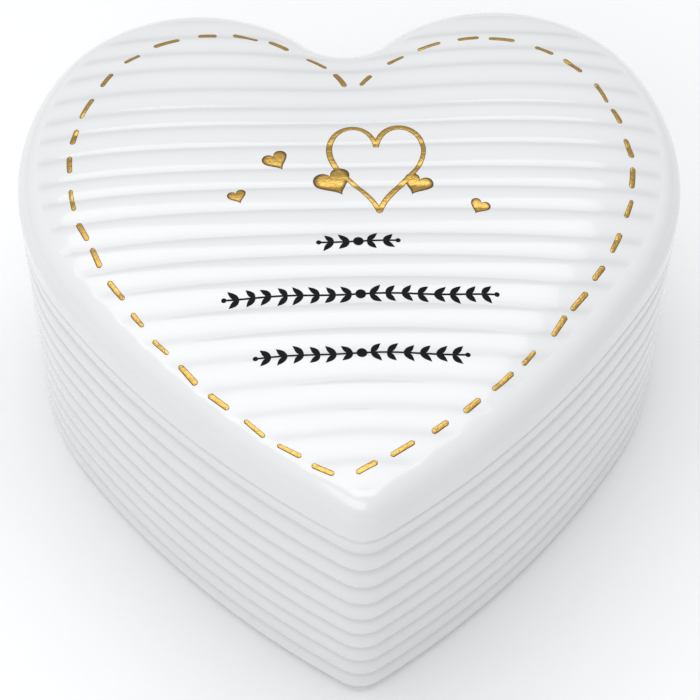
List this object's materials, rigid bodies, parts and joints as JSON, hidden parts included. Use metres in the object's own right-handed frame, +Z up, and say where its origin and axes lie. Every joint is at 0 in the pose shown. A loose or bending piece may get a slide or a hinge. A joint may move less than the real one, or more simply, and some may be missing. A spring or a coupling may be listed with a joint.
{
  "type": "heart-shaped trinket box",
  "caption": "Heart-shaped ribbed porcelain trinket box with a lift-off ribbed lid, gold stitch border and heart motif; holds rings and small keepsakes.",
  "frame": {"origin": "middle of the footprint, on the surface the foot ring stands on", "axes": "+Z up; the point of the heart faces -Y and the cleft faces +Y; +X is to the right seen from the point"},
  "size_m": [0.11, 0.1054, 0.0592],
  "materials": {
    "porcelain": "gloss white glaze",
    "gold_lustre": "fired gold lustre, thin and bright",
    "black_print": "fired black ceramic print"
  },
  "bodies": {
    "base": {"base": "porcelain"},
    "lid": {"lid": "porcelain", "gold_stitch_border": "gold_lustre", "gold_heart_motif": "gold_lustre", "gold_scattered_hearts": "gold_lustre", "black_garland_top": "black_print", "black_garland_middle": "black_print", "black_garland_bottom": "black_print"}
  },
  "joints": [
    {"name": "lid_lift", "type": "slide", "parent": "base", "child": "lid", "axis": [0, 0, 1], "range_m": [0, 0.06]}
  ]
}
